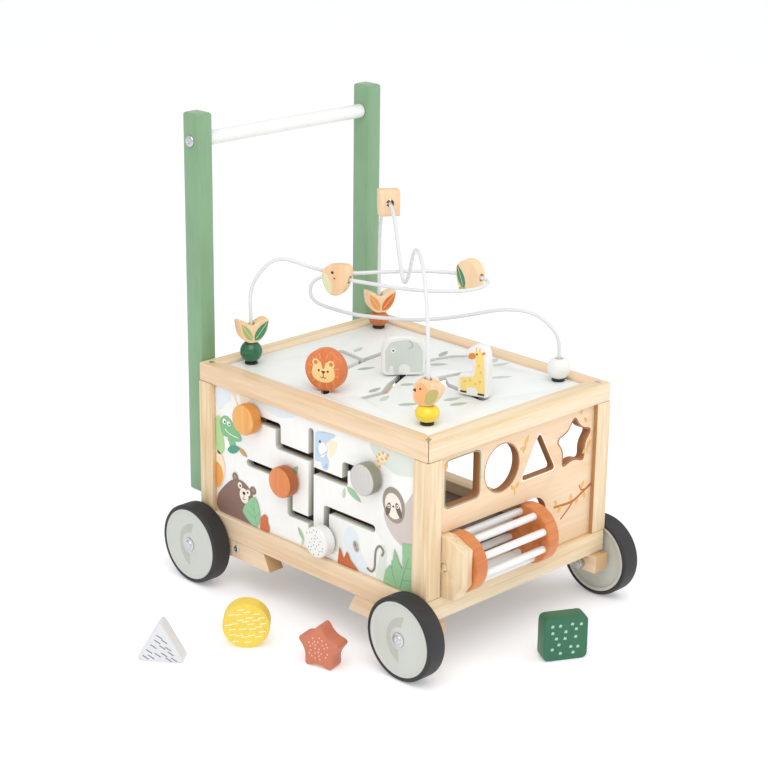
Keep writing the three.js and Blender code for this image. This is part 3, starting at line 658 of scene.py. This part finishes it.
shapes = {
    "leafPair": rounded([(-6, 0), (-14, 8), (-17, 27), (-6, 22), (0, 18), (8, 23), (19, 26), (16, 10), (7, 0)], 5, 8),
    "bird": rounded([(-10, 0), (-14, 10), (-12, 23), (-3, 28), (6, 25), (17, 20), (13, 8), (6, 0)], 6, 8),
    "hangingBird": rounded([(-16, -2), (-14, 13), (4, 16), (15, 15), (14, -2), (7, -17), (-8, -18)], 8, 8),
    "pebble": rounded([(-15, 8), (-6, 18), (8, 17), (15, 6), (14, -10), (4, -17), (-10, -15)], 8, 8),
    "block": rounded([(-11, 14), (11, 14), (12, -2), (9, -15), (-9, -15), (-12, -2)], 4, 8),
}
green, olive = "3C8A62", "A5B271"
beads = {
    "green_leaf_bead": {"shape": "leafPair", "at": (-92, 136, 266.4), "turn": -17, "layers": [
        (olive, [leaf((-1.5, 3), (-13.5, 22.5), 8)]), (green, [leaf((1.5, 2.5), (17, 22.5), 10)]),
        ("D9DFB6", [strip([(-2, 5), (-12.5, 20)], 0.5), strip([(3, 5), (15.5, 20.5)], 0.5)])]},
    "orange_leaf_bead": {"shape": "leafPair", "at": (98, 136, 260.9), "turn": -25, "layers": [
        ("E6A05A", [leaf((-1.5, 3), (-13.5, 22.5), 9)]), ("D9722F", [leaf((1.5, 2.5), (17, 22.5), 10)]),
        ("F4CFA3", [strip([(-2, 5), (-12.5, 20)], 0.5), strip([(3, 5), (15.5, 20.5)], 0.5)])]},
    "small_bird_bead": {"shape": "bird", "at": (-90, -123, 262.4), "turn": -68, "layers": [
        ("F3B27B", [rounded([(-8.5, 2), (-11.5, 10), (-10, 21), (-4, 25), (3, 20), (5, 8), (1, 1.5)], 5)]),
        ("BDB56E", [rounded([(-1, 3), (1, 14), (7, 19), (15, 18), (12, 9), (6, 1.5)], 4)]),
        ("2B2523", [ellipse(-5, 17.5, 1.0), rounded([(-13, 15.5), (-9.6, 17.4), (-9.4, 13.6)], 0.8, 3)])]},
    "loop_bird_bead": {"shape": "hangingBird", "turn": loopTurn - 15.4, "threaded": True, "layers": [
        ("D8DCB2", [rounded([(-14.5, -2), (-13, 8), (-8, 3), (-3, -6), (-3.5, -15.5), (-8, -16)], 4)]),
        ("2B2523", [ellipse(-3, 7.5, 1.5), rounded([(-1.5, 2.6), (0.8, 1.6), (-1.2, 0.2)], 0.5, 3)])]},
    "loop_leaf_bead": {"shape": "pebble", "turn": loopTurn - 26.7, "threaded": True, "layers": [
        ("4B8766", [leaf((-2.5, -13), (-11.5, 11.5), 8.5)]), ("B0AC52", [leaf((-9.5, -13.5), (4.5, -14.2), 5)]),
        ("C9DDBB", [strip([(-4, -10), (-10.5, 8.5)], 0.5)])]},
    "arch_bead": {"shape": "block", "turn": archTurn, "tilt": -5, "thick": 22, "threaded": True, "layers": []},
}
for name, bead in beads.items():
    thick = bead.get("thick", 14)
    if bead.get("threaded"):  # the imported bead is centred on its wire
        low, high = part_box(name)
        outline = shapes[bead["shape"]]
        centre = (low + high) / 2 - middle
        wideMid = (max(p[0] for p in outline) + min(p[0] for p in outline)) / 2
        highMid = (max(p[1] for p in outline) + min(p[1] for p in outline)) / 2
        turn, tilt = math.radians(bead["turn"]), math.radians(bead.get("tilt", 0))
        across = Vector((math.cos(turn) * math.cos(tilt), math.sin(turn) * math.cos(tilt), -math.sin(tilt)))
        rise = Vector((math.cos(turn) * math.sin(tilt), math.sin(turn) * math.sin(tilt), math.cos(tilt)))
        at = centre * 1000 - across * wideMid - rise * highMid
        bore = across
    else:
        at, bore = Vector(bead["at"]), Vector((0, 0, 1))
    place = {"at": tuple(at), "turn": bead["turn"], "tilt": bead.get("tilt", 0)}
    piece = drawBoard("cut_" + name, [shapes[bead["shape"]]], -thick / 2, thick / 2, finish["bead"], 1.1)
    settle(piece, **place)
    boreAt = tuple(at) if bead.get("threaded") else (at.x, at.y, at.z + 20)
    cutBore(piece, boreAt, bore, beadBore)
    fit(dress(softenEdges(piece, 0.05, 1, 80), finish["bead"]), name, "bead_wood", name)
    if bead["layers"]:
        printOn("print_" + name, name, "bead_wood", place, bead["layers"], above=thick / 2)
print("beads made")

# ---- sliding figures ----
figureZ = 243.4
figures = {
    "lion_slider": {
        "outline": ellipse(0, 22, 22, count=80), "at": (-94, 16.8), "turn": -72, "thick": 13, "finish": "orange", "slot": "orange_stain",
        "layers": [
            ("F2A973", [strip([(13.6 * math.cos(a), 22 + 13.6 * math.sin(a)), (18.4 * math.cos(a), 22 + 18.4 * math.sin(a))], 0.7)
                        for a in [math.radians(15 + 30 * k) for k in range(12)]]),
            ("F7D491", [ellipse(-8.6, 29.6, 4.2), ellipse(8.6, 29.6, 4.2),
                        rounded([(-10, 31), (10, 31), (14, 20), (11.5, 12), (0, 8.5), (-11.5, 12), (-14, 20)], 6)]),
            ("DD7A3B", [ellipse(-8.9, 29.9, 2.2), ellipse(8.9, 29.9, 2.2), rounded([(-2.8, 31.2), (2.8, 31.2), (0.9, 24), (-0.9, 24)], 1)]),
            ("2B2523", [ellipse(-5.2, 21.8, 1.15), ellipse(5.2, 21.8, 1.15), rounded([(-2.6, 21.6), (2.6, 21.6), (0, 18.2)], 1.1, 3),
                        strip(arc([(-3, 14.8), (-1.6, 14), (0, 15.6)], 5), 0.6), strip(arc([(0, 15.6), (1.6, 14), (3, 14.8)], 5), 0.6),
                        strip([(0, 18.4), (0, 15.6)], 0.6)]),
        ]},
    "elephant_slider": {
        "outline": rounded([(-23, 0), (-23, 30), (-17, 41), (3, 43), (19, 38), (23, 28), (23, 0)], 8, 10),
        "at": (0, 0), "turn": -38.5, "thick": 13, "finish": "white", "slot": "white_paint",
        "layers": [
            ("D0D8D1", [rounded([(-19, 4), (-19.8, 27), (-14.5, 36.5), (2, 39.2), (15, 35), (19.8, 26.5), (20, 3.2), (6.5, 3.2), (6.5, 9.5),
                                 (2.5, 12.5), (-2.5, 12.5), (-5, 9.5), (-5, 3.2), (-10.5, 3.2), (-11.5, 11), (-14.8, 11), (-15.2, 4)], 2.6)]),
            ("9AA6A0", [strip(arc([(5.5, 38), (8.5, 34), (8, 30.5), (5, 29.5)], 5), 0.8)]),
            ("F3F4F1", [ellipse(-11.2, 27.4, 2.5)]),
            ("33302E", [ellipse(-11.2, 27.4, 1.1)]),
        ]},
    "giraffe_slider": {
        "outline": rounded([(-17, 0), (-17, 21), (-1, 24), (-1, 38), (-9, 41), (-9, 48), (2, 55), (13, 54), (16, 44), (17, 0)], 4, 8),
        "at": (5.6, -98), "turn": -74, "thick": 12, "finish": "white", "slot": "white_paint",
        "layers": [
            ("F7DC86", [rounded([(-14.2, 4.5), (-14.2, 18.6), (1.5, 21.5), (3, 37), (-1, 42), (2, 48.5), (8, 50), (11.5, 46), (13.2, 20), (14, 4.5),
                                 (5.5, 4.5), (5, 9.6), (-5.5, 9.6), (-6.5, 4.5)], 1.8)]),
            ("EFC361", [ellipse(-9, 15, 1.8, 1.3), ellipse(-3, 17, 1.4), ellipse(8, 17, 1.7, 1.3), ellipse(9, 27, 1.4), ellipse(6.5, 34, 1.3),
                        ellipse(3, 14, 1.3)]),
            ("E08A42", [ellipse(-1.5, 42.8, 4.4, 3.2, 25), ellipse(11.5, 47.5, 2.2, 1.3, 20)]),
            ("F3B27B", [strip([(3, 49), (3.4, 52)], 0.9), strip([(7, 50), (7.4, 52.6)], 0.9)]),
            ("2B2523", [ellipse(4, 45.6, 0.9), strip([(-13, 3.6), (-7.6, 3.6)], 1.9), strip([(6.8, 3.6), (12.6, 3.6)], 1.9)]),
        ]},
}
for name, figure in figures.items():
    place = {"at": (*figure["at"], figureZ), "turn": figure["turn"]}
    body = settle(drawBoard("cut_" + name, [figure["outline"]], -figure["thick"] / 2, figure["thick"] / 2, finish[figure["finish"]], 1.6), **place)
    peg = settle(turnPiece("peg", [(8, 231.5), (8, 234.5), (3.3, 234.6), (3.3, figureZ + 3)], 40), (*figure["at"], 0), flat=True)
    dress(softenEdges(peg, 0.4), finish["black"])
    fit(joinPieces("figure_" + name, [body, peg]), name, figure["slot"], name)
    printOn("print_" + name, name, figure["slot"], place, figure["layers"], above=figure["thick"] / 2)
print("figures made")

# ---- front panel prints ----
frontPlate = {"at": (0, -165, 0), "turn": 0}


def ringRound(name, grow):
    block = sorter[name]
    x, z = block["hole"]
    size = max(point[1] for point in block["outline"])
    return [[Vector((x + p[0] * f, z + p[1] * f)) for p in block["outline"]] for f in (1.045 + grow / size, 1.045)]


printOn("front_prints", "frame", "birch_ply", frontPlate, [
    ("B9692F", [strip(arc([(116.5, 136), (104, 131), (86, 124), (58, 125)], 6), 3.2, 0.8),
                strip(arc([(88, 124.8), (80, 117), (69, 109)], 6), 2.3, 0.8),
                strip(arc([(107, 132.5), (100, 133.5), (97, 139)], 6), 1.8, 0.8)]),
    ("E2B45F", [leaf(base, tip, 4.2) for base, tip in (
        ((62, 126), (58, 133)), ((84, 125), (84, 134)), ((100, 135), (104, 143)), ((95, 125), (92, 119)), ((104, 130), (107, 122)),
        ((68, 124), (64, 117)), ((8, 206), (14, 216)), ((10, 203), (1, 204)), ((94, 218.5), (97, 224)), ((100, 213), (105, 207)),
        ((108, 179), (111, 187)), ((105, 178), (99, 174)), ((-3, 163), (1, 170)), ((-6, 163), (-11, 168)), ((-107, 209), (-104, 219)),
        ((-112, 141), (-109, 148)))]),
    ("D99A4B", [strip([(6, 199), (10, 206)], 0.8), strip([(-5, 157), (-5, 164)], 0.8), strip([(107, 173), (107, 180)], 0.8)]),
])
# painted shadow: a brown strip on the post's inner side face, where the panel is set back
printOn("post_shadow_line", "frame", "pine", {"at": (116, 0, 0), "turn": -90}, [
    ("B98A58", [[Vector((165.2, 81)), Vector((169.6, 81)), Vector((169.6, 224)), Vector((165.2, 224))]])])
printOn("hole_edge_square", "frame", "birch_ply", frontPlate, [("7F9A86", ringRound("square", 1.2), True)])
printOn("hole_edge_triangle", "frame", "birch_ply", frontPlate, [("F7F4EC", ringRound("triangle", 1.6), True)])
printOn("hole_edge_round", "frame", "birch_ply", frontPlate, [("9A6238", ringRound("disc", 0.7), True)])
printOn("hole_edge_star", "frame", "birch_ply", frontPlate, [("A2562F", ringRound("star", 2), True)])

# ---- top panel leaves ----
topPlate = {"at": (0, 0, 242), "turn": 0, "flat": True}
printOn("top_leaves", "frame", "printed_board", topPlate, [
    ("B3BDB0", [leaf(base, tip, 8) for base, tip in (
        ((-66, -17), (-46, -14)), ((-24, 44), (-4, 37)), ((-26, -22), (-12, -30)), ((44, 4), (60, -8)), ((72, 16), (93, 24)),
        ((-28, -86), (-8, -92)), ((-72, -64), (-52, -76)), ((-34, -100), (-14, -107)))]),
    ("C7CFC4", [leaf(base, tip, 7) for base, tip in (
        ((90, -44), (112, -50)), ((100, -36), (118 - 4, -30)), ((-76, -44), (-58, -38)), ((52, 62), (72, 70)), ((16, 90), (34, 96)),
        ((60, -70), (80, -82)), ((-46, 66), (-28, 76)))]),
    ("97A394", [strip([(-65, -17), (-50, -14.6)], 0.6), strip([(-23, 43.7), (-8, 38.4)], 0.6), strip([(73, 16.4), (90, 22.9)], 0.6)]),
])

# ---- maze panel prints, drawn as [viewer's right, up] ----
leftPlate = {"at": (-131, 0, 0), "turn": -90}
printOn("maze_washes", "frame", "printed_board", leftPlate, [
    ("E2EAEF", [rounded([(-149, 224), (-149, 199), (-141, 197), (-133, 207), (-126, 210), (-122, 224)], 6),
                rounded([(-86, 224), (-70, 216), (-48, 213), (-24, 219), (-24, 224)], 5),
                rounded([(-149, 170), (-149, 148), (-140, 150), (-141, 164)], 4),
                rounded([(50, 119), (58, 127), (70, 121), (73, 104), (83, 92), (86, 81), (66, 81), (56, 94), (49, 106)], 7)]),
    ("DDE4D9", [rounded([(84, 224), (88, 214), (104, 205), (122, 199), (149, 204), (149, 224)], 7),
                rounded([(95, 81), (99, 100), (104, 122), (111, 118), (110, 96), (108, 81)], 5)]),
    ("FBEBC9", [rounded([(-112, 206), (-124, 224), (-118, 224)], 2), rounded([(-104, 208), (-110, 224), (-102, 224)], 2),
                rounded([(-96, 206), (-97, 220), (-86, 214)], 2),
                rounded([(26, 209), (40, 210), (34, 196), (27, 190)], 4)]),
    ("F5CF86", [strip([(-111, 208), (-121, 222)], 0.8), strip([(-106, 209), (-108, 222)], 0.8), strip([(-100, 208), (-92, 217)], 0.8)]),
])
printOn("print_frog", "frame", "printed_board", leftPlate, [
    ("B2D593", [rounded([(-149, 190), (-141, 190), (-135, 180), (-138, 168), (-134, 158), (-138, 149), (-145, 146), (-149, 152)], 6)]),
    ("7FBB86", [rounded([(-143, 184), (-139, 191), (-132, 194), (-124, 191), (-117, 183), (-108, 177), (-107, 171),
                         (-117, 168), (-128, 170), (-139, 170)], 5),
                rounded([(-130, 171), (-119, 171), (-116, 162), (-122, 157), (-127, 162)], 3)]),
    ("F7F8F2", [ellipse(-134.5, 186.5, 3), ellipse(-127.5, 185.5, 2.7), strip(arc([(-134, 178), (-126, 174.5), (-112, 173.5)], 6), 0.8),
                rounded([(-134, 167), (-128, 167), (-125, 157), (-131, 153), (-135, 158)], 4)]),
    ("4D9C80", [leaf((-130, 155), (-109, 163), 9)]),
    ("C99B66", [leaf((-111, 162), (-98, 156), 5.5)]),
    ("26221F", [ellipse(-133.6, 186, 1.2), ellipse(-126.8, 185, 1.1)]),
], above=filmLift["main"])
printOn("print_edge_leaves", "frame", "printed_board", leftPlate, [
    ("F9E2BE", [rounded([(-149, 152), (-139, 147), (-134, 134), (-139, 114), (-149, 104)], 5)]),
    ("EDA044", [rounded([(-149, 138), (-141, 134), (-137, 123), (-142, 111), (-149, 106)], 4)]),
], above=filmLift["main"])
printOn("print_bear", "frame", "printed_board", leftPlate, [
    ("876A5E", [rounded([(-149, 98), (-139, 110), (-124, 124), (-108, 128), (-94, 121), (-87, 108), (-84, 94), (-83, 81), (-149, 81)], 9),
                ellipse(-118, 127.6, 4.8, 5.4, 20), ellipse(-89.6, 120.6, 4.8, 4.6)]),
    ("F6EBDD", [ellipse(-110.5, 120.5, 3.4, 3.8), ellipse(-97, 116, 3.2, 3.6), ellipse(-104, 110.5, 7, 8.5, 12)]),
    ("A48A7D", [ellipse(-118.2, 128.2, 2.2, 2.6, 20), ellipse(-89, 121, 2.2)]),
    ("2B2523", [ellipse(-110, 120.3, 1.3), ellipse(-98, 115.8, 1.2), ellipse(-104, 113.5, 2.4, 1.7, 0), strip([(-104, 112.5), (-104, 107.5)], 0.6),
                strip(arc([(-106.5, 107), (-104, 106), (-101.5, 107)], 5), 0.6)]),
], above=filmLift["main"])
printOn("print_low_leaves", "frame", "printed_board", leftPlate, [
    ("CF6C38", [rounded([(-79, 81), (-76.5, 95), (-71, 100), (-66, 97), (-66.5, 91), (-63.5, 88), (-63.5, 81)], 2.5)]),
    ("93C598", [rounded([(-92, 81), (-107, 92), (-103, 100), (-99, 104), (-93, 111), (-86, 115.5), (-81, 108), (-78, 96), (-79, 86), (-84, 81)], 4)]),
    ("6FAE80", [strip(arc([(-83, 82), (-87, 96), (-88, 110)], 5), 0.8), strip([(-85.4, 90), (-98, 95)], 0.7), strip([(-87, 98), (-94, 104)], 0.7),
                strip([(-85.8, 91), (-80, 98)], 0.7)]),
], above=filmLift["lowLeaves"])
printOn("print_sprigs", "frame", "printed_board", leftPlate, [
    ("9FC4A2", [leaf((-28, 156), (-19, 168), 7), leaf((53, 167), (74, 156), 7.5), leaf((-19, 101), (-10, 88), 5)]),
    ("C5D6C0", [leaf((48, 153), (50, 165), 4), leaf((-12, 89), (-13, 82), 3)]),
], above=filmLift["main"])
printOn("print_elephant_blue", "frame", "printed_board", leftPlate, [
    ("C2D6E8", [rounded([(6.5, 213), (20, 216), (38, 217), (29, 211), (21, 204), (22, 193), (27, 187),
                         (25, 176), (17.5, 175.5), (16, 184), (6.5, 181)], 4)]),
    ("F3F5F3", [rounded([(11, 199), (19, 206), (26, 200), (21, 190), (15, 187)], 4)]),
    ("A9C0D6", [strip(arc([(9, 196), (15, 190), (24, 196)], 5), 0.8), rounded([(19, 178), (25, 178), (24, 184)], 1.5, 3)]),
    ("33383C", [ellipse(14, 204.5, 1.3)]),
], above=filmLift["main"])
printOn("print_giraffe_small", "frame", "printed_board", leftPlate, [
    ("F8E8C6", [rounded([(92, 196), (95, 210), (98, 218), (108, 219), (112, 212), (106, 207), (101, 206), (99, 196)], 3)]),
    ("E9B25A", [ellipse(99, 214.5, 1.7), ellipse(104, 217, 1.6), ellipse(108.6, 213, 1.9), ellipse(103, 210.5, 1.5), ellipse(97.6, 207, 1.5),
                ellipse(99.6, 202, 1.4), ellipse(96.4, 199.6, 1.2), ellipse(110.5, 216.5, 1.5), ellipse(96, 211, 1.2)]),
    ("D97B3A", [rounded([(87, 202), (94, 200), (98, 196), (96, 191), (90, 197)], 1.5)]),
], above=filmLift["main"])
printOn("print_sloth", "frame", "printed_board", leftPlate, [
    ("CFC5BD", [rounded([(105, 160), (108, 146), (118, 134), (132, 127), (149, 122), (149, 193), (141, 180), (134, 170)], 9)]),
    ("9A9086", [ellipse(120, 167, 15.2, 18.5, 14, 40)]),
    ("F4EADC", [ellipse(119.5, 166, 11.4, 13.4, 14, 36)]),
    ("6D5C52", [ellipse(112.6, 161, 3.2, 7.6, -16), ellipse(127, 163.4, 3.2, 8, 26), ellipse(119.6, 165.6, 1.5, 1.2)]),
    ("F4EADC", [ellipse(113.6, 164.2, 1.9), ellipse(125.6, 167, 1.9)]),
    ("2B2523", [ellipse(113.8, 164, 0.9), ellipse(125.3, 166.8, 0.9)]),
], above=filmLift["main"])
printOn("print_monkey", "frame", "printed_board", leftPlate, [
    ("B9AE9B", [ellipse(67, 106.5, 4, 6.2, 20)]),
    ("8E8372", [ellipse(66, 108, 1.6, 2.4, 20), ellipse(68.5, 103.5, 1.1, 1.6, 20)]),
    ("857F79", [strip(arc([(84, 88), (90, 86.5), (94, 92), (94.5, 102), (96, 112), (101, 117.5), (106.5, 114), (104.5, 108.5)], 7), 2.3)]),
], above=filmLift["main"])
printOn("print_right_leaves", "frame", "printed_board", leftPlate, [
    ("C9632C", [rounded([(41, 81), (43.5, 99), (50, 88), (54.5, 97.5), (60, 89), (72, 81)], 1)]),
    ("93C192", [rounded([(107, 81), (110, 95), (116, 103), (118.5, 99), (122, 122), (130, 107), (134, 103), (133, 131), (149, 134), (149, 81)], 1.6)]),
    ("6FA97F", [strip(arc([(131, 82), (136, 100), (142, 118)], 5), 1.0), strip(arc([(126, 82), (120, 96), (119, 108)], 5), 0.8),
                strip([(134, 92), (148, 95)], 0.8), strip([(138.5, 106), (148, 108)], 0.8)]),
], above=filmLift["rightLeaves"])
print("prints made")

# ---- camera, light and floor ----
view = {"target": (-81.5, -52.6, 267.3), "distance": 2018.5, "azimuth": -44.8, "elevation": 18.8, "roll": 0.7, "lens": 94.6,
        "shift": (0.0013, -0.0044)}
azimuth, elevation, roll = (math.radians(view[key]) for key in ("azimuth", "elevation", "roll"))
back = Vector((math.sin(azimuth) * math.cos(elevation), -math.cos(azimuth) * math.cos(elevation), math.sin(elevation)))
right = (-back).cross(Vector((0, 0, 1))).normalized()
up = right.cross(-back)
across = right * math.cos(roll) + up * math.sin(roll)
rise = up * math.cos(roll) - right * math.sin(roll)
camera = bpy.data.objects.new("camera", bpy.data.cameras.new("camera"))
bpy.context.scene.collection.objects.link(camera)
camera.matrix_world = Matrix.Translation(mm(*view["target"]) + back * view["distance"] / 1000) @ \
    Matrix((across, rise, back)).transposed().to_4x4()
camera.data.lens = view["lens"]
camera.data.sensor_width = 36
camera.data.shift_x, camera.data.shift_y = view["shift"]
bpy.context.scene.camera = camera

lights = {
    "key": {"at": (-900, -800, 1900), "size": 1.6, "power": 17},
    "fill": {"at": (1300, -1200, 1000), "size": 1.8, "power": 5},
}
for name, light in lights.items():
    lamp = bpy.data.lights.new(name, "AREA")
    lamp.size = light["size"]
    lamp.energy = light["power"]
    obj = bpy.data.objects.new(name, lamp)
    bpy.context.scene.collection.objects.link(obj)
    obj.location = mm(*light["at"])
    obj.rotation_euler = (mm(0, 0, 200) - obj.location).to_track_quat("-Z", "Y").to_euler()
world = bpy.data.worlds.new("studio")
world.use_nodes = True
world.node_tree.nodes["Background"].inputs[0].default_value = (1, 1, 1, 1)
world.node_tree.nodes["Background"].inputs[1].default_value = 0.8
bpy.context.scene.world = world
bpy.context.scene.view_settings.view_transform = "Standard"

bpy.ops.object.select_all(action="DESELECT")
bpy.ops.mesh.primitive_plane_add(size=14, location=mm(0, 0, -0.4))
floor = bpy.context.object
floor.name = "studio_floor"
bpy.ops.object.transform_apply(location=True, rotation=True, scale=True)
floorFinish, floorTree, floorShader, floorPlace = startFinish("matt_studio_floor", 0.9)
haze = addNode(floorTree, "ShaderNodeTexNoise", {"Vector": floorPlace, "Scale": 2, "Detail": 1}).outputs[0]
tone = addNode(floorTree, "ShaderNodeMix", {0: haze, 6: linear("F3F4F8"), 7: linear("F5F6FA")}, data_type="RGBA").outputs[2]
floorTree.links.new(tone, floorShader.inputs["Base Color"])
floorShader.inputs["Emission Color"].default_value = (1, 1, 1, 1)
floorShader.inputs["Emission Strength"].default_value = 0.25  # keeps the sweep white to the edges
dress(floor, floorFinish)
print("camera, light and floor set")
